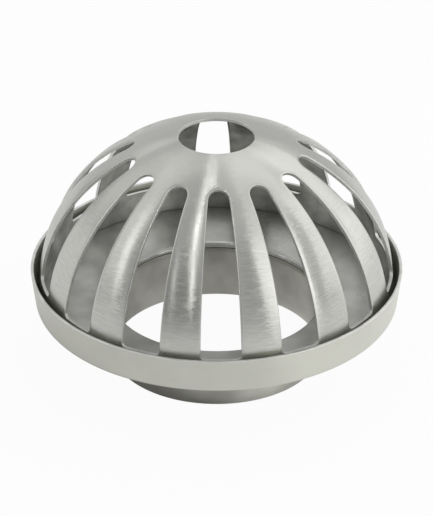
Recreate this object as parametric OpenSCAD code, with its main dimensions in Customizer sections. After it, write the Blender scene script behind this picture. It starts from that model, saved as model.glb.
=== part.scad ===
// Flat roof drain of stainless steel sheet: a pressed pan with an upstanding rim, a spigot that
// is butt-welded under the pan's lip and goes down into the rain pipe, and a loose slotted dome
// that stands inside the rim and keeps leaves out.
// Millimetres, +Z up. The origin is at the centre of the spigot's lower end, on the drain's axis.

/* [Pan] */
// Outer diameter of the rim at its top edge
rim_d = 146.8; // [135:0.2:165]
// Height of the rim, from the underside of the seat to the top edge
rim_h = 14.3; // [12:0.1:20]
// Angle at which the rim leans outward, in degrees
rim_lean = 6.5; // [0:0.5:10]
// Thickness of the pan's sheet
pan_sheet = 1.2; // [0.8:0.1:1.5]
// Inside radius of the bend between the seat and the rim
rim_bend_r = 0.5; // [0.3:0.1:1.5]
// Width of the flat seat that the dome stands on
seat_w = 3.3; // [2.6:0.1:6]
// Slope of the floor toward the outlet, in degrees
floor_slope = 3.8; // [1:0.2:8]
// Radius of the lip's bend, on the side that the water runs over
lip_bend_r = 1.8; // [1.6:0.1:4]
// Straight collar under the lip, down to the weld
collar_h = 0.3; // [0.2:0.1:5]

/* [Spigot] */
// Outer diameter of the spigot
spigot_d = 84.6; // [70:0.2:105]
// Wall of the spigot
spigot_wall = 1.2; // [0.8:0.1:2]
// Length of the spigot below the weld
spigot_len = 22.4; // [15:0.1:80]

/* [Dome] */
// Thickness of the dome's sheet
dome_sheet = 1.2; // [0.8:0.1:1.6]
// Clearance between the dome's foot and the start of the rim's bend
dome_gap = 0.15; // [0.1:0.05:0.6]
// Height of the dome's widest girth above its foot
girth_h = 4.3; // [1:0.1:8]
// How much larger the crown's radius is than the girth's
crown_extra = 2.7; // [1:0.1:6]
// How much smaller the shoulder's radius is than the girth's
shoulder_less = 5.8; // [1:0.1:12]
// Diameter of the hole at the top
top_hole_d = 29.8; // [20:0.2:40]
// How far the loose dome is turned in the pan, in degrees
dome_turn = 1.4; // [-12:0.1:12]

/* [Slots] */
// Number of slots round the dome
slot_n = 14; // [10:1:18]
// Share of each pitch that is open
slot_share = 0.5; // [0.35:0.01:0.6]
// Distance of a slot's upper tip from the axis
slot_tip_r = 32.3; // [26:0.1:42]
// Height of the unslotted band round the foot
foot_band_h = 11.6; // [8:0.1:18]
// Radius of a slot's two lower corners
slot_corner_r = 1.8; // [0.5:0.1:2.5]

/* [Hidden] */
$fn = 128;
bend_steps = 8;      // straight steps in each bend of the pan's section
over = 1;            // how far a cutter runs past what it cuts

// Pan, from the weld upward
bore_r = spigot_d / 2 - spigot_wall;
weld_z = spigot_len;
lip_c = [bore_r + lip_bend_r, weld_z + collar_h];             // centre of the lip's bend
rim_r = rim_d / 2;
wall_t = pan_sheet / cos(rim_lean);                           // rim's thickness, measured level
// centre of the rim's bend, which is also where the flat seat ends
bend_drop = rim_h - pan_sheet - rim_bend_r;
bend_r = rim_r - wall_t - bend_drop * tan(rim_lean) - rim_bend_r / cos(rim_lean);
seat_in_r = bend_r - seat_w;
floor_run = seat_in_r - lip_c[0] + lip_bend_r * sin(floor_slope);
seat_z = lip_c[1] + lip_bend_r * cos(floor_slope) + floor_run * tan(floor_slope);
rim_z = seat_z - pan_sheet + rim_h;
bend_c = [bend_r, seat_z + rim_bend_r];

// Dome, in its own heights above the seat
foot_r = bend_r - dome_gap;
girth_r = shoulder_less + sqrt(pow(foot_r - shoulder_less, 2) + pow(girth_h, 2));
crown_r = girth_r + crown_extra;
shoulder_r = girth_r - shoulder_less;
// angle from the pole at which the crown's arc meets the shoulder's arc, tangent to it
meet_a = asin(shoulder_less / (crown_r - shoulder_r));
crown_z = girth_h - (crown_r - shoulder_r) * cos(meet_a);     // centre of the crown's arc
dome_top = crown_z + crown_r;

// Slots
slot_half = slot_share * 180 / slot_n;
tip_c = slot_tip_r / (1 - sin(slot_half));                    // centre of the tip's circle
slot_far = foot_r + 4 * over;

// Points along an arc round c, from angle a0 to angle a1
function arc(c, r, a0, a1, n = bend_steps) =
    [for (i = [0:n]) let (a = a0 + (a1 - a0) * i / n) c + r * [cos(a), sin(a)]];

// Outline of the dome's outer face, or of its inner face when inset is the sheet's thickness:
// a sector of the crown's circle, and the shoulder's circle that touches it from inside
module dome_outline(inset) {
    far = 2 * crown_r;
    translate([0, crown_z]) intersection() {
        circle(r = crown_r - inset);
        polygon([[0, 0], [0, far], far * [sin(meet_a), cos(meet_a)]]);
    }
    translate([shoulder_less, girth_h]) circle(r = shoulder_r - inset);
}

// Half section of the dome's sheet, cut level at the foot and upright at the top hole
module dome_section() {
    difference() {
        intersection() {
            dome_outline(0);
            square([crown_r, dome_top]);
        }
        dome_outline(dome_sheet);
        square([top_hole_d, 2 * dome_top + over], center = true);
    }
}

// Rounds one lower corner of a slot; the slot's side lies along X and its inside is toward +Y
module corner_round() {
    run = slot_far - tip_c;
    difference() {
        translate([tip_c, -over, foot_band_h - over])
            cube([run, over + slot_corner_r, over + slot_corner_r]);
        translate([tip_c - over, slot_corner_r, foot_band_h + slot_corner_r]) rotate([0, 90, 0])
            cylinder(h = run + 2 * over, r = slot_corner_r);
    }
}

// Cutter of one slot along +X: sides on two planes through the axis, a round tip, round corners
module slot_cutter() {
    side = slot_far / cos(slot_half);
    difference() {
        translate([0, 0, foot_band_h]) linear_extrude(dome_top) union() {
            translate([tip_c, 0]) circle(r = tip_c * sin(slot_half));
            // the sides start where they touch the tip's circle
            polygon([
                for (s = [-1, 1]) tip_c * pow(cos(slot_half), 2) * [1, s * tan(slot_half)],
                for (s = [1, -1]) side * [cos(slot_half), s * sin(slot_half)],
            ]);
        }
        rotate(-slot_half) corner_round();
        mirror([0, 1, 0]) rotate(-slot_half) corner_round();
    }
}

module dome_strainer() {
    color("silver") translate([0, 0, seat_z]) rotate(dome_turn) difference() {
        rotate_extrude() dome_section();
        for (i = [0:slot_n - 1]) rotate(-90 + i * 360 / slot_n) slot_cutter();
    }
}

module pan() {
    color("silver") rotate_extrude() polygon(concat(
        // wetted side: collar, lip, sloping floor, seat, rim
        [[bore_r, weld_z]],
        arc(lip_c, lip_bend_r, 180, 90 + floor_slope),
        [[seat_in_r, seat_z]],
        arc(bend_c, rim_bend_r, -90, -rim_lean),
        [[rim_r - wall_t, rim_z], [rim_r, rim_z]],
        // underside, back to the collar
        arc(bend_c, rim_bend_r + pan_sheet, -rim_lean, -90),
        [[seat_in_r + pan_sheet * tan(floor_slope / 2), seat_z - pan_sheet]],
        arc(lip_c, lip_bend_r - pan_sheet, 90 + floor_slope, 180),
        [[bore_r + pan_sheet, weld_z]]
    ));
}

module spigot() {
    color("darkgray") difference() {
        cylinder(h = spigot_len, d = spigot_d);
        translate([0, 0, -over]) cylinder(h = spigot_len + 2 * over, r = bore_r);
    }
}

dome_strainer();
pan();
spigot();
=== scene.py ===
"""The visible model of the flat roof drain: a slotted dome strainer standing loosely in a round
pan, with a spigot butt-welded under the pan's lip. All of it is brushed stainless sheet.

Every size is in metres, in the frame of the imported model. Heights and radii come from the CAD
nodes' boxes; what a box can't tell, such as a bend's radius, is a named value below.
"""
import math

import bmesh
import bpy
import numpy as np
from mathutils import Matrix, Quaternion, Vector


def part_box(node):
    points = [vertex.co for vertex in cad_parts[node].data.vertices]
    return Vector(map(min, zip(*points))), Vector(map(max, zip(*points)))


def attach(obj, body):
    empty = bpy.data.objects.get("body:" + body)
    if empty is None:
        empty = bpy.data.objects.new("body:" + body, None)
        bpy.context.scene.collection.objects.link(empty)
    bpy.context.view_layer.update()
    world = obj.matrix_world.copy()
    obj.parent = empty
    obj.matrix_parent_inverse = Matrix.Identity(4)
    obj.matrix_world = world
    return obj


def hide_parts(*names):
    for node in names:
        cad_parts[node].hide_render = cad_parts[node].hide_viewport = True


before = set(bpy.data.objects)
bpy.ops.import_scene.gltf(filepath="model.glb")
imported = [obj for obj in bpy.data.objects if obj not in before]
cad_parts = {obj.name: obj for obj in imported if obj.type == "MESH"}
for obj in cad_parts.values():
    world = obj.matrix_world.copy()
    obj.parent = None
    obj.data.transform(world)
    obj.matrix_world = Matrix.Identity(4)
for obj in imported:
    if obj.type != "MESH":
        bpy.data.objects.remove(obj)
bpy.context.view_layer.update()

MM = 0.001
TURN = 2 * math.pi

# ---------------------------------------------------------------- sizes shared by the pieces
SHEET = 1.2 * MM            # thickness of the dome's, the pan's and the spigot's sheet
EDGE_ROUND = 0.25 * MM      # how far cut edges are rounded over
JOINT_ROUND = 0.25 * MM     # the same at the weld, where two rounded edges leave a fine groove

pan_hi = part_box("pan")[1]
dome_lo, dome_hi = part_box("dome_strainer")
spigot_lo, spigot_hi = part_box("spigot")

RIM_R, RIM_Z = pan_hi.x, pan_hi.z
SEAT_Z = dome_lo.z
WELD_Z = spigot_hi.z
SPIGOT_R = spigot_hi.x
BORE_R = SPIGOT_R - SHEET

# ---------------------------------------------------------------- the dome's shape
SLOTS = 14
SLOT_PITCH = TURN / SLOTS
SLOT_HALF = SLOT_PITCH / 4                # slots and ribs are equally wide
DOME_TURN = math.radians(1.4)             # how far the loose dome is turned in the pan
GIRTH_R = dome_hi.x
GIRTH_Z = SEAT_Z + 4.3 * MM
CROWN_R = GIRTH_R + 2.7 * MM              # the crown's arc is flatter than the girth's circle
SHOULDER_LESS = 5.8 * MM                  # and the shoulder's arc is tighter
SHOULDER_R = GIRTH_R - SHOULDER_LESS
MEET = math.asin(SHOULDER_LESS / (CROWN_R - SHOULDER_R))
CROWN_Z = GIRTH_Z - (CROWN_R - SHOULDER_R) * math.cos(MEET)
HOLE_R = 14.9 * MM
SLOT_TIP_R = 32.3 * MM
TIP_C = SLOT_TIP_R / (1 - math.sin(SLOT_HALF))     # centre of a tip's circle, from the axis
TIP_R = TIP_C * math.sin(SLOT_HALF)
BAND_Z = SEAT_Z + 11.6 * MM               # lower ends of the slots
CORNER_R = 1.8 * MM                       # their corners
ROLL_W = 1.0 * MM                         # the sheet rolls inward beside each slot: how wide
ROLL_DEPTH = 0.16 * MM                    # and how deep at the cut
ROLL_POWER = 2.0                          # how much of the roll is close to the cut

# the panel of mesh round each slot, whose rows follow the slot's outline
PANEL_ABOVE = math.radians(4.2)           # how far it reaches above the tip, as an angle
PANEL_BELOW = 3.0 * MM                    # and below the slot's lower end
PANEL_TURN = 0.72                         # share of its width that is left at the corner's end
# where its rows lie between the slot and the border; they are closer together near the slot
PANEL_ROWS = (0, 0.03, 0.06, 0.10, 0.15, 0.21, 0.28, 0.37, 0.5, 0.66, 0.83, 1.0)

# ---------------------------------------------------------------- the pan's section
RIM_LEAN = math.radians(6.5)
RIM_BEND_R = 0.5 * MM
SEAT_W = 3.3 * MM
FLOOR_SLOPE = math.radians(3.8)
LIP_R = 1.8 * MM
COLLAR_H = 0.3 * MM


# ================================================================ meshes
def dome_point(theta, phi, depth):
    """Point of the dome's sheet where its normal leans theta from the axis, at angle phi round
    it, depth below the outer face. Takes arrays."""
    crown = theta <= MEET
    offset = np.where(crown, 0.0, SHOULDER_LESS)
    centre_z = np.where(crown, CROWN_Z, GIRTH_Z)
    radius = np.where(crown, CROWN_R, SHOULDER_R) - depth
    r = offset + radius * np.sin(theta)
    z = centre_z + radius * np.cos(theta)
    return np.stack([r * np.cos(phi), r * np.sin(phi), z], axis=-1)


def theta_at_height(z):
    return np.arccos((z - GIRTH_Z) / SHOULDER_R)


def half_slot():
    """One side of a slot's outline and of the panel round it, from the tip to the lower end.
    Returns two arrays of (phi, theta), matched point by point: the outline and the panel's
    border. The border's corners fall halfway along the tip and along the lower corner. In each
    stretch, t runs from 0 to 1."""
    tip_steps, side_steps, corner_steps, end_steps = 16, 44, 10, 6
    border_top = math.asin(SLOT_TIP_R / CROWN_R) - PANEL_ABOVE
    border_low = float(theta_at_height(BAND_Z - PANEL_BELOW))
    half_pitch = SLOT_PITCH / 2

    t = np.linspace(0, 1, tip_steps + 1)
    angle = math.pi - t * (math.pi / 2 - SLOT_HALF)
    x, y = TIP_C + TIP_R * np.cos(angle), TIP_R * np.sin(angle)
    tip = np.stack([np.arctan2(y, x), np.arcsin(np.hypot(x, y) / CROWN_R)], axis=-1)
    side_from = tip[-1, 1]
    tip_border = np.stack([half_pitch * np.minimum(1, 2 * t),
                           border_top + (side_from - border_top) * np.maximum(0, 2 * t - 1)],
                          axis=-1)

    side_to = float(theta_at_height(BAND_Z + CORNER_R))
    theta = np.linspace(side_from, side_to, side_steps + 1)[1:]
    side = np.stack([np.full_like(theta, SLOT_HALF), theta], axis=-1)
    side_border = np.stack([np.full_like(theta, half_pitch), theta], axis=-1)

    t = np.linspace(0, 1, corner_steps + 1)[1:]
    wall_r = float(np.hypot(*dome_point(side_to, 0.0, 0.0)[:2]))
    corner_phi = SLOT_HALF - CORNER_R / wall_r * (1 - np.cos(t * math.pi / 2))
    corner_z = BAND_Z + CORNER_R * (1 - np.sin(t * math.pi / 2))
    corner = np.stack([corner_phi, theta_at_height(corner_z)], axis=-1)
    turned = half_pitch * PANEL_TURN
    corner_border = np.stack([half_pitch + (turned - half_pitch) * np.maximum(0, 2 * t - 1),
                              side_to + (border_low - side_to) * np.minimum(1, 2 * t)], axis=-1)

    t = np.linspace(0, 1, end_steps + 1)[1:]
    end = np.stack([corner_phi[-1] * (1 - t), np.full_like(t, corner[-1, 1])], axis=-1)
    end_border = np.stack([turned * (1 - t), np.full_like(t, border_low)], axis=-1)

    outline = np.concatenate([tip, side, corner, end])
    border = np.concatenate([tip_border, side_border, corner_border, end_border])
    return outline, border


def roll_in(distance):
    """How far the sheet has rolled inward, at a distance from a slot's cut edge."""
    return ROLL_DEPTH * np.maximum(0, 1 - distance / ROLL_W) ** ROLL_POWER


# material slots: brushed faces, cut edges, duller inner faces, the weld
FACE, CUT, DULL, JOINT = range(4)

MERGED = 1e-7               # points closer than this are one


class Sheets:
    """Collects grids of points as quads, each with its material, and merges them into a mesh."""

    def __init__(self):
        self.points, self.quads, self.kinds = [], [], []

    def grid(self, points, kind, flip=False):
        rows, cols = points.shape[:2]
        first = sum(len(p) for p in self.points)
        index = first + np.arange(rows * cols).reshape(rows, cols)
        a, b = index[:-1, :-1].ravel(), index[1:, :-1].ravel()
        c, d = index[1:, 1:].ravel(), index[:-1, 1:].ravel()
        quads = np.stack([a, d, c, b] if flip else [a, b, c, d], axis=-1)
        self.points.append(points.reshape(-1, 3))
        self.quads.append(quads)
        self.kinds.append(np.full(len(quads), kind))

    def object(self, name, materials):
        mesh = bpy.data.meshes.new(name)
        mesh.from_pydata(np.concatenate(self.points).tolist(), [],
                         np.concatenate(self.quads).tolist())
        for material in materials:
            mesh.materials.append(material)
        mesh.polygons.foreach_set("material_index", np.concatenate(self.kinds).tolist())
        bm = bmesh.new()
        bm.from_mesh(mesh)
        bmesh.ops.remove_doubles(bm, verts=bm.verts, dist=MERGED)
        for face in bm.faces:
            face.smooth = True
        bm.to_mesh(mesh)
        bm.free()
        obj = bpy.data.objects.new(name, mesh)
        bpy.context.scene.collection.objects.link(obj)
        return obj


def build_dome(materials):
    """The slotted dome: for each half slot a panel, a piece of the crown above it and a piece of
    the foot band below it, on both faces of the sheet, and the three cuts between the faces."""
    sheets = Sheets()
    outline, border = half_slot()
    rows = outline + (border - outline) * np.array(PANEL_ROWS)[:, None, None]
    on_outer = dome_point(rows[..., 1], rows[..., 0], 0.0)
    rolled = roll_in(np.linalg.norm(on_outer - on_outer[0], axis=-1))
    wall = np.linspace(0, SHEET, 3)
    hole = math.asin(HOLE_R / CROWN_R)
    foot = float(theta_at_height(SEAT_Z))
    top = border[:, 1].min()
    low = border[:, 1].max()
    top_phi = border[np.isclose(border[:, 1], top)][:, 0]
    low_phi = border[np.isclose(border[:, 1], low)][:, 0]
    crown_rows = np.linspace(hole, top, 13)
    band_rows = np.linspace(low, foot, 6)

    for k in range(SLOTS):
        middle = -math.pi / 2 + DOME_TURN + k * SLOT_PITCH
        for side in (1, -1):
            flip = side < 0
            for depth, kind in ((0.0, FACE), (SHEET, DULL)):
                turned = flip != (kind == DULL)
                sheets.grid(dome_point(rows[..., 1], middle + side * rows[..., 0],
                                       depth + rolled), kind, turned)
                crown = np.meshgrid(crown_rows, middle + side * top_phi, indexing="ij")
                sheets.grid(dome_point(*crown, depth), kind, not turned)
                band = np.meshgrid(band_rows, middle + side * low_phi, indexing="ij")
                sheets.grid(dome_point(*band, depth), kind, turned)
            for theta, phi, sunk, turned in (
                    (outline[:, 1], outline[:, 0], ROLL_DEPTH, not flip),
                    (np.full_like(top_phi, hole), top_phi, 0, flip),
                    (np.full_like(low_phi, foot), low_phi, 0, flip)):
                ring = [dome_point(theta, middle + side * phi, sunk + d) for d in wall]
                sheets.grid(np.stack(ring), CUT, turned)
    dome = sheets.object("slotted_dome", materials)
    round_edges(dome, EDGE_ROUND)
    return dome


def round_edges(obj, width):
    """Rounds the edges between a sheet's faces and its cuts."""
    bevel = obj.modifiers.new("rounded_cuts", "BEVEL")
    bevel.width = width
    bevel.segments = 2
    bevel.limit_method = "ANGLE"
    bevel.angle_limit = math.radians(50)
    bevel.material = CUT
    bevel.harden_normals = True


def arc(centre, radius, start, end, steps):
    """Points of an arc in a half section, as rows of (r, z)."""
    angle = np.linspace(start, end, steps + 1)
    return np.stack([centre[0] + radius * np.cos(angle), centre[1] + radius * np.sin(angle)],
                    axis=-1)


ROUND_STEPS = 320           # steps of a revolved piece round the axis


def revolve(name, stretches, materials):
    """Turns a closed half section about the axis. The section is a list of (points, kind)."""
    sheets = Sheets()
    phi = np.linspace(0, TURN, ROUND_STEPS + 1)
    for points, kind in stretches:
        points = np.asarray(points, float)
        r, z = points[:, 0][:, None], points[:, 1][:, None]
        ring = np.stack([r * np.cos(phi), r * np.sin(phi), z + 0 * phi], axis=-1)
        sheets.grid(ring, kind)
    return sheets.object(name, materials)


def build_pan(materials):
    """Section of the pan: collar, lip, sloping floor, flat seat, bend and leaning rim."""
    wall_t = SHEET / math.cos(RIM_LEAN)
    lean = math.tan(RIM_LEAN)
    under = SEAT_Z - SHEET
    bend_z = SEAT_Z + RIM_BEND_R
    bend_r = RIM_R - wall_t - (RIM_Z - bend_z) * lean - RIM_BEND_R / math.cos(RIM_LEAN)
    seat_r = bend_r - SEAT_W
    under_r = seat_r + SHEET * math.tan(FLOOR_SLOPE / 2)
    lip = (BORE_R + LIP_R, WELD_Z + COLLAR_H)
    bend = (bend_r, bend_z)
    deg = math.radians
    floor_at = deg(90) + FLOOR_SLOPE

    def off_lip(radius):
        """Where the sloping floor leaves the lip's bend, at this radius of the bend."""
        return lip[0] - radius * math.sin(FLOOR_SLOPE), lip[1] + radius * math.cos(FLOOR_SLOPE)

    def off_bend(radius):
        """Where the leaning rim leaves its bend, at this radius of the bend."""
        return bend_r + radius * math.cos(RIM_LEAN), bend_z - radius * math.sin(RIM_LEAN)

    floor = np.concatenate([
        [[BORE_R, WELD_Z + JOINT_ROUND]],
        arc(lip, LIP_R, deg(180), floor_at, 14),
        np.linspace(off_lip(LIP_R), (seat_r, SEAT_Z), 12)[1:-1],
        np.linspace((seat_r, SEAT_Z), (bend_r, SEAT_Z), 4),
    ])
    wall = np.concatenate([
        arc(bend, RIM_BEND_R, deg(-90), -RIM_LEAN, 8),
        np.linspace(off_bend(RIM_BEND_R),
                    (RIM_R - wall_t - EDGE_ROUND * lean, RIM_Z - EDGE_ROUND), 8)[1:],
    ])
    edge = np.concatenate([
        arc((RIM_R - wall_t + EDGE_ROUND, RIM_Z - EDGE_ROUND), EDGE_ROUND, deg(180), deg(90), 4),
        arc((RIM_R - EDGE_ROUND, RIM_Z - EDGE_ROUND), EDGE_ROUND, deg(90), deg(0), 4),
    ])
    edge[0], edge[-1] = wall[-1], (RIM_R - EDGE_ROUND * lean, RIM_Z - EDGE_ROUND)
    outer_r = RIM_BEND_R + SHEET
    outside = np.concatenate([
        np.linspace(edge[-1], off_bend(outer_r), 8)[:-1],
        arc(bend, outer_r, -RIM_LEAN, deg(-90), 12),
        np.linspace((bend_r, under), (under_r, under), 4)[1:],
        np.linspace((under_r, under), off_lip(LIP_R - SHEET), 12)[1:-1],
        arc(lip, LIP_R - SHEET, floor_at, deg(180), 8),
        [[SPIGOT_R, WELD_Z + JOINT_ROUND]],
    ])
    joint = [[SPIGOT_R, WELD_Z + JOINT_ROUND], [SPIGOT_R - JOINT_ROUND, WELD_Z],
             [BORE_R + JOINT_ROUND, WELD_Z], [BORE_R, WELD_Z + JOINT_ROUND]]
    section = [(floor, DULL), (wall, FACE), (edge, CUT), (outside, FACE), (joint, JOINT)]
    return revolve("rimmed_pan", section, materials)


def build_spigot(materials):
    """Section of the spigot: a plain tube with a rounded lower end, up to the weld."""
    low = spigot_lo.z
    deg = math.radians
    inside = np.linspace((BORE_R, low + EDGE_ROUND), (BORE_R, WELD_Z - JOINT_ROUND), 10)
    joint = [[BORE_R, WELD_Z - JOINT_ROUND], [BORE_R + JOINT_ROUND, WELD_Z],
             [SPIGOT_R - JOINT_ROUND, WELD_Z], [SPIGOT_R, WELD_Z - JOINT_ROUND]]
    outside = inside[::-1] + np.array([SPIGOT_R - BORE_R, 0])
    end = np.concatenate([
        arc((SPIGOT_R - EDGE_ROUND, low + EDGE_ROUND), EDGE_ROUND, deg(0), deg(-90), 4),
        arc((BORE_R + EDGE_ROUND, low + EDGE_ROUND), EDGE_ROUND, deg(-90), deg(-180), 4),
    ])
    section = [(inside, FACE), (joint, JOINT), (outside, FACE), (end, CUT)]
    return revolve("welded_spigot", section, materials)


# ================================================================ materials
class Shader:
    """The nodes of a material or of the world. A node is made with its inputs, each of which is a
    value or another node's output."""

    def __init__(self, owner):
        owner.use_nodes = True
        self.owner = owner
        self.tree = owner.node_tree
        self.tree.nodes.clear()

    def node(self, kind, inputs=None, **settings):
        made = self.tree.nodes.new(kind)
        for key, value in settings.items():
            setattr(made, key, value)
        for key, value in (inputs or {}).items():
            if isinstance(value, bpy.types.NodeSocket):
                self.tree.links.new(value, made.inputs[key])
            else:
                made.inputs[key].default_value = value
        return made

    def place(self):
        """Place in the object's own frame, in metres."""
        return self.node("ShaderNodeTexCoord").outputs["Object"]

    def split(self, vector):
        return self.node("ShaderNodeSeparateXYZ", {0: vector}).outputs

    def math(self, operation, a, b=0.0):
        return self.node("ShaderNodeMath", {0: a, 1: b}, operation=operation).outputs[0]

    def noise(self, vector, scale=1.0, detail=2.0, roughness=0.5):
        return self.node("ShaderNodeTexNoise", {"Vector": vector, "Scale": scale,
                         "Detail": detail, "Roughness": roughness}).outputs["Fac"]

    def spread(self, value, low, high, to_low, to_high):
        return self.node("ShaderNodeMapRange", {"Value": value, "From Min": low, "From Max": high,
                         "To Min": to_low, "To Max": to_high}).outputs["Result"]

    def mixed_value(self, factor, a, b):
        return self.node("ShaderNodeMix", {0: factor, 2: a, 3: b}, data_type="FLOAT").outputs[0]

    def mix(self, factor, a, b):
        """Mix of two colours, each of them three values or another node's output."""
        a, b = (c if isinstance(c, bpy.types.NodeSocket) else (*c, 1.0) for c in (a, b))
        return self.node("ShaderNodeMix", {0: factor, 6: a, 7: b}, data_type="RGBA").outputs[2]

    def distance(self, x, y, from_x=0.0):
        """Distance in plan from the point (from_x, 0)."""
        x = self.math("SUBTRACT", x, from_x)
        return self.math("SQRT", self.math("ADD", self.math("MULTIPLY", x, x),
                                           self.math("MULTIPLY", y, y)))

    def round_the_axis(self, r_share, z_share):
        """(cos, sin) of the angle round the drain's axis, and the way along the section in
        metres, as r_share of the radius plus z_share of the height."""
        split = self.split(self.place())
        r = self.distance(split["X"], split["Y"])
        not_zero = self.math("MAXIMUM", r, 1e-6)
        cos = self.math("DIVIDE", split["X"], not_zero)
        sin = self.math("DIVIDE", split["Y"], not_zero)
        along = self.math("ADD", self.math("MULTIPLY", r, r_share),
                          self.math("MULTIPLY", split["Z"], z_share))
        return cos, sin, along

    def stretched(self, section_place, round_scale, along_scale):
        """Place for a noise that is drawn out round the axis, from what round_the_axis gives.
        The noise then has round_scale cells to a radian and along_scale to a metre of the way
        along the section."""
        cos, sin, along = section_place
        return self.node("ShaderNodeCombineXYZ", {
            "X": self.math("MULTIPLY", cos, round_scale),
            "Y": self.math("MULTIPLY", sin, round_scale),
            "Z": self.math("MULTIPLY", along, along_scale)}).outputs[0]


# Brush marks are noises drawn out round the axis. Each has so many cells to a radian, and so many
# to a metre of the way along the section.
FINE_LINES = (14, 2700)
WIDE_LINES = (7, 1500)
LINES_SLANT = (20, 1100)         # how single lines turn from the round
FINE_SHARE = 0.75                # the fine lines' share in the lines
LINES_LEFT = 0.35                # how much of the lines is left where they have faded
ACROSS = 0.25                    # a quarter turn, which draws highlights out across the lines

CLOUD_SHADE = 0.6                # colour of the darkest cloud, as a share of the metal's
CLOUD_ROUGH = (-0.02, 0.03)      # what the clouds add to the roughness
PAINTED_SHADE_DARKEST = 0.12               # colour of the darkest painted shade, as a share of the metal's
PAINTED_SHADE_CURVE = 1.6                # the higher, the later the painted shade sets in

# stretches of a noise's values that are spread over a full change; a short one gives hard edges
HARD = (0.35, 0.65)
CLOUDY = (0.35, 0.7)
PLAIN = (0.3, 0.7)
EASY = (0.25, 0.75)


def shade(colour, share):
    return tuple(min(1.0, c * share) for c in colour)


def brushed_steel(name, colour, roughness, anisotropy, section, line_bump, stray=0.0,
                  haze=0.02, uneven=0.04, patches=0.05, cloud_scale=55, waves=0.0, painted_shade=None,
                  smooth_above=None):
    """Stainless steel brushed round the axis. section is how the way along the sheet follows
    from radius and height; line_bump is the depth of the brush lines in metres; stray is how far
    single lines turn from the round, in turns; haze is how far their colour differs, and uneven
    how far their roughness does; patches is how strongly the clouds are drawn; cloud_scale is
    the clouds' and the waves' cells to a metre; waves is the depth of the sheet's faint waves in
    metres; painted_shade is (from, to, how much), the first two in metres along the section,
    where the colour is darkened as painted shade; smooth_above is the pair of heights between
    which the lines fade."""
    sh = Shader(bpy.data.materials.new(name))
    at = sh.place()
    section_place = sh.round_the_axis(*section)
    fine = sh.noise(sh.stretched(section_place, *FINE_LINES), detail=2, roughness=0.6)
    wide = sh.noise(sh.stretched(section_place, *WIDE_LINES), detail=3, roughness=0.55)
    slant = sh.noise(sh.stretched(section_place, *LINES_SLANT), detail=2, roughness=0.7)
    cloud = sh.noise(at, scale=cloud_scale, detail=3)
    lines = sh.math("ADD", sh.math("MULTIPLY", fine, FINE_SHARE),
                    sh.math("MULTIPLY", wide, 1 - FINE_SHARE))
    if smooth_above:
        left = sh.spread(sh.split(at)["Z"], *smooth_above, 1.0, LINES_LEFT)
        lines = sh.mixed_value(left, 0.5, lines)

    tone = sh.mix(sh.spread(lines, *HARD, 0, 1), shade(colour, 1 - haze), shade(colour, 1 + haze))
    tone = sh.mix(sh.spread(cloud, *CLOUDY, 0, patches), tone, shade(colour, CLOUD_SHADE))
    # painted shade: the colour darkens along the section towards the corner at the seat, where
    # shade falls
    if painted_shade:
        start, end, amount = painted_shade
        reach = sh.math("POWER", sh.spread(section_place[2], start, end, 0, 1), PAINTED_SHADE_CURVE)
        tone = sh.mix(sh.math("MULTIPLY", reach, amount), tone, shade(colour, PAINTED_SHADE_DARKEST))

    rough = sh.math("ADD", sh.spread(wide, *PLAIN, roughness - uneven, roughness + uneven),
                    sh.spread(cloud, *PLAIN, *CLOUD_ROUGH))
    relief = sh.math("MULTIPLY", lines, line_bump)
    if waves:
        swell = sh.noise(at, scale=cloud_scale, detail=0)
        relief = sh.math("ADD", relief, sh.math("MULTIPLY", swell, waves))
    bump = sh.node("ShaderNodeBump", {"Height": relief, "Distance": 1.0, "Strength": 1.0})
    tangent = sh.node("ShaderNodeTangent", direction_type="RADIAL", axis="Z")
    surface = sh.node("ShaderNodeBsdfPrincipled", {
        "Base Color": tone, "Metallic": 1.0, "Roughness": rough, "Anisotropic": anisotropy,
        "Anisotropic Rotation": sh.spread(slant, *EASY, ACROSS - stray, ACROSS + stray),
        "Tangent": tangent.outputs[0], "Normal": bump.outputs["Normal"]})
    sh.node("ShaderNodeOutputMaterial", {"Surface": surface.outputs[0]})
    return sh.owner


MARKS_SCALE = 2200               # cells to a metre of a cut's fine marks
MARKS_DEPTH = 0.003 * MM
MARKS_ROUGH = (-0.06, 0.08)      # what the marks add to the roughness
PATCH_SCALE = 160                # cells to a metre of a cut's patches
PATCH_SHADE = 0.8                # colour of the darkest patch, as a share of the metal's


def cut_edge(name, colour, roughness):
    """A sheared or welded edge, with fine marks and faint patches."""
    sh = Shader(bpy.data.materials.new(name))
    at = sh.place()
    marks = sh.noise(at, scale=MARKS_SCALE, detail=2)
    patches = sh.noise(at, scale=PATCH_SCALE, detail=3)
    tone = sh.mix(sh.spread(patches, *HARD, 0, 1), shade(colour, PATCH_SHADE), colour)
    rough = sh.spread(marks, *PLAIN, *(roughness + more for more in MARKS_ROUGH))
    bump = sh.node("ShaderNodeBump", {"Height": marks, "Distance": MARKS_DEPTH, "Strength": 1.0})
    surface = sh.node("ShaderNodeBsdfPrincipled", {
        "Base Color": tone, "Metallic": 1.0, "Roughness": rough, "Normal": bump.outputs["Normal"]})
    sh.node("ShaderNodeOutputMaterial", {"Surface": surface.outputs[0]})
    return sh.owner


# ================================================================ the pieces
FADE_Z = (0.070, 0.086)          # heights between which the dome's brush lines fade
PAINTED_SHADE_R = (0.056, 0.0702)        # radii between which the pan's floor is painted darker up to the seat: painted shade in the corner where the dome's foot stands

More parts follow.
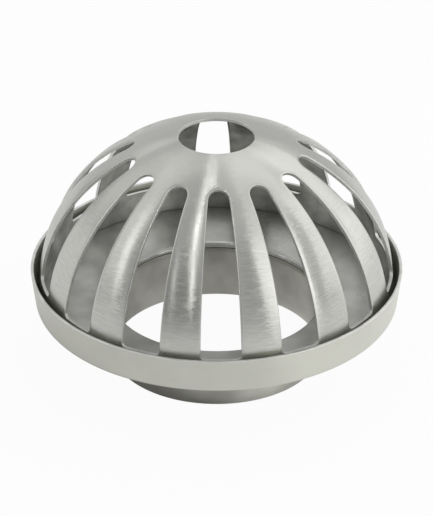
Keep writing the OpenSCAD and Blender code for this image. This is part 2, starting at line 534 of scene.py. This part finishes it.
steel_dome = brushed_steel("dome_brushed", (0.62, 0.625, 0.587), 0.205, 1.0, (1, -1), 0.006 * MM,
                           stray=0.05, haze=0.07, uneven=0.02, smooth_above=FADE_Z)
steel_inside = brushed_steel("dome_inside", (0.66, 0.665, 0.64), 0.22, 0.5, (1, -1), 0.004 * MM,
                             haze=0.04, uneven=0.02, patches=1.0, cloud_scale=150,
                             waves=0.25 * MM)
steel_pan = brushed_steel("pan_brushed", (0.65, 0.653, 0.587), 0.34, 0.8, (1, 1), 0.006 * MM,
                          stray=0.006)
# the floor is painted darker towards the seat: painted shade in the corner round the dome's foot
steel_floor = brushed_steel("pan_floor", (0.76, 0.765, 0.73), 0.29, 0.5, (1, 1), 0.0015 * MM,
                            haze=0.04, uneven=0.01, patches=1.0, cloud_scale=48, waves=0.3 * MM,
                            painted_shade=(SEAT_Z + PAINTED_SHADE_R[0], SEAT_Z + PAINTED_SHADE_R[1], 0.75))
steel_tube = brushed_steel("spigot_matt", (0.78, 0.77, 0.70), 0.42, 0.2, (0, 1), 0.002 * MM,
                           patches=1.0, cloud_scale=40, waves=0.3 * MM)
bright_cut = cut_edge("bright_cut", (0.86, 0.86, 0.83), 0.42)
dark_joint = cut_edge("dark_joint", (0.20, 0.19, 0.16), 0.5)

for piece, node in ((build_dome([steel_dome, bright_cut, steel_inside]), "dome_strainer"),
                    (build_pan([steel_pan, bright_cut, steel_floor, dark_joint]), "pan"),
                    (build_spigot([steel_tube, bright_cut, steel_tube, dark_joint]), "spigot")):
    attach(piece, "root")
    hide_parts(node)


# ================================================================ floor, light and camera
def look_at(obj, target):
    obj.rotation_mode = "QUATERNION"
    obj.rotation_quaternion = (target - obj.location).to_track_quat("-Z", "Y")


def way_to(azimuth, elevation):
    """Unit vector from two angles in degrees. Azimuth 0 is the camera's side, and 90 is to its
    right."""
    a, e = math.radians(azimuth), math.radians(elevation)
    return Vector((math.sin(a) * math.cos(e), -math.cos(a) * math.cos(e), math.sin(e)))


# the camera is fitted to outlines in the photograph
CAMERA_ELEVATION = math.radians(30.21)
CAMERA_DISTANCE = 0.9945
CAMERA_SENSOR = 36.0        # in millimetres, along the frame's height
CAMERA_LENS = 175.37        # in millimetres as well
CAMERA_SHIFT = 0.00872      # how far below the middle the target shows, as a share of the height

target = Vector((0, 0, RIM_Z))
camera_data = bpy.data.cameras.new("camera")
camera_data.sensor_width = CAMERA_SENSOR
camera_data.lens = CAMERA_LENS
camera_data.shift_y = CAMERA_SHIFT
camera = bpy.data.objects.new("camera", camera_data)
bpy.context.scene.collection.objects.link(camera)
camera.location = target + CAMERA_DISTANCE * Vector((0, -math.cos(CAMERA_ELEVATION),
                                                     math.sin(CAMERA_ELEVATION)))
look_at(camera, target)
bpy.context.scene.camera = camera

FLOOR_HALF = 6.0
GLOW_SHARE = 0.95           # of what the camera sees; the rest is paint, which keeps the shadow
WHITE = (1, 1, 1, 1)

floor_mesh = bpy.data.meshes.new("floor")
corners = [(x * FLOOR_HALF, y * FLOOR_HALF, 0) for x, y in ((-1, -1), (1, -1), (1, 1), (-1, 1))]
floor_mesh.from_pydata(corners, [], [(0, 1, 2, 3)])
floor = bpy.data.objects.new("floor", floor_mesh)
bpy.context.scene.collection.objects.link(floor)

# The floor that the metal mirrors is shaded to match the reflections in the photograph: dark
# round the spigot, furthest to its left, grey below the bore, and lighter to the right.
SHADOW_X = -0.025           # middle of the dark round
SHADOW_R = (0.047, 0.075)   # radii at which it is full and ends
SHADOW_LIGHT = 0.15
BORE_LIGHT = 0.48
SIDES_X = (-0.09, 0.09)
SIDES_LIGHT = (0.78, 0.87)
# a ring of it, which the rim's outside mirrors, is a little darker to the left and lighter to
# the right once more
RING_IN = (0.08, 0.095)     # radii at which it begins and is full
RING_OUT = (0.125, 0.15)    # and at which it is still full and ends
RING_X = (0.042, 0.058)
RING_LIGHT = (0.92, 1.14)   # factors on the strength, which stays below 1 with them

sh = Shader(bpy.data.materials.new("floor_white"))
ground = sh.split(sh.place())
from_axis = sh.distance(ground["X"], ground["Y"])
beside = sh.spread(sh.distance(ground["X"], ground["Y"], SHADOW_X), *SHADOW_R, SHADOW_LIGHT, 1.0)
below_bore = sh.spread(from_axis, BORE_R, SPIGOT_R, BORE_LIGHT, 0.0)
sides = sh.spread(ground["X"], *SIDES_X, *SIDES_LIGHT)
near = sh.math("MULTIPLY", sh.math("MAXIMUM", beside, below_bore), sides)
ring = sh.math("MULTIPLY", sh.spread(from_axis, *RING_IN, 0, 1),
               sh.spread(from_axis, *RING_OUT, 1, 0))
ring_light = sh.mixed_value(ring, 1.0, sh.spread(ground["X"], *RING_X, *RING_LIGHT))
mirrored = sh.node("ShaderNodeEmission", {
    "Color": WHITE, "Strength": sh.math("MULTIPLY", near, ring_light)})

rays = sh.node("ShaderNodeLightPath").outputs
paint = sh.node("ShaderNodeBsdfDiffuse", {"Color": (0.85, 0.85, 0.85, 1)})
glow = sh.node("ShaderNodeEmission", {"Color": WHITE, "Strength": 1.0})
viewed = sh.node("ShaderNodeMixShader", {
    0: sh.math("MULTIPLY", rays["Is Camera Ray"], GLOW_SHARE),
    1: paint.outputs[0], 2: glow.outputs[0]})
in_metal = sh.math("MAXIMUM", rays["Is Glossy Ray"], rays["Is Transmission Ray"])
blend = sh.node("ShaderNodeMixShader", {0: in_metal, 1: viewed.outputs[0], 2: mirrored.outputs[0]})
sh.node("ShaderNodeOutputMaterial", {"Surface": blend.outputs[0]})
floor_mesh.materials.append(sh.owner)

# an even pale room, with a dark corner on the camera's left that the front ribs mirror
ROOM_LIGHT = 0.43
CORNER_LIGHT = 0.24
CORNER_AT = (-25, 16)       # azimuth and elevation
CORNER_EDGE = (0.85, 0.98)  # cosines of the angles from there at which it ends and is full

world = bpy.data.worlds.new("studio")
room = Shader(world)
toward = room.node("ShaderNodeVectorMath", {
    0: room.node("ShaderNodeTexCoord").outputs["Generated"], 1: way_to(*CORNER_AT)},
    operation="DOT_PRODUCT").outputs["Value"]
air = room.node("ShaderNodeBackground", {
    "Color": WHITE, "Strength": room.spread(toward, *CORNER_EDGE, ROOM_LIGHT, CORNER_LIGHT)})
room.node("ShaderNodeOutputWorld", {"Surface": air.outputs[0]})
bpy.context.scene.world = world

LAMP_DISTANCE = 1.5
LAMP_AIM = Vector((0, 0, 0.05))      # about the middle of the drain


def softbox(name, azimuth, elevation, width, height, lean, radiance):
    """A plain area lamp that faces the drain. Azimuth 0 is the camera's side and 90 is to its
    right; width, height and the lean to the left are angles as well, as the drain sees them.
    Radiance sets how bright its face is, whatever its size."""
    lamp = bpy.data.lights.new(name, "AREA")
    lamp.shape = "RECTANGLE"
    lamp.size = 2 * LAMP_DISTANCE * math.tan(math.radians(width) / 2)
    lamp.size_y = 2 * LAMP_DISTANCE * math.tan(math.radians(height) / 2)
    lamp.energy = radiance * math.pi * lamp.size * lamp.size_y
    obj = bpy.data.objects.new(name, lamp)
    bpy.context.scene.collection.objects.link(obj)
    obj.location = LAMP_AIM + LAMP_DISTANCE * way_to(azimuth, elevation)
    look_at(obj, LAMP_AIM)
    obj.rotation_quaternion = obj.rotation_quaternion @ Quaternion((0, 0, 1), math.radians(lean))
    obj.visible_camera = False


# The lamps' places and strengths are matched to the photograph: they began as fits to its tones
# and were then tuned.

# a ring of leaning panels, each of which shows on the brushed dome as a band down its side
softbox("left_edge", -76, 33, 5.5, 46, 24, 1.0)
softbox("left", -87, 33, 10, 46, 29, 0.45)
softbox("left_far", -115, 33, 26, 46, 45, 0.1)
softbox("front", 3, 33, 29, 46, -1, 0.06)
softbox("right", 52, 33, 33, 46, -16, 0.95)
softbox("right_gap", 78, 33, 5.5, 46, -25, 0.22)
softbox("right_far", 94, 29, 20, 54, -33, 0.75)
softbox("right_back", 134, 33, 20, 46, -63, 0.5)
# narrow lamps that draw the bright lines on the front left rib and above it
softbox("streak", -24.5, 57, 0.9, 30, 13, 4.2)
softbox("streak_high", -34, 72, 1.0, 16, 18, 4.5)
softbox("streak_top", -157, 80.2, 1.4, 13, -60, 6.4)
softbox("streak_low", -17.5, 31, 1.2, 24, 6, 3.7)
softbox("streak_weak", -31, 31, 1.5, 32, 10, 1.1)
# soft fill from above, from behind and from low at the sides
softbox("top_strip", 168, 64, 20, 44, 0, 0.3)
softbox("top_front", 20, 72, 44, 20, 0, 0.24)
softbox("top_left", -110, 66, 60, 24, 0, 0.12)
softbox("top_right", 110, 66, 40, 24, 0, 0.28)
softbox("top_back", 180, 55, 50, 24, 0, 0.17)
softbox("back_left", -140, 45, 44, 44, 0, 0.23)
softbox("back_right", 140, 45, 44, 44, 0, 0.25)
softbox("back_low", 180, 18, 70, 30, 0, 0.2)
softbox("low_left", -105, 8, 40, 16, 0, 0.42)
softbox("low_right", 50, 8, 34, 16, 0, 0.7)
softbox("low_far_right", 113, 8, 42, 18, 0, 0.85)

bpy.context.scene.view_settings.view_transform = "Standard"
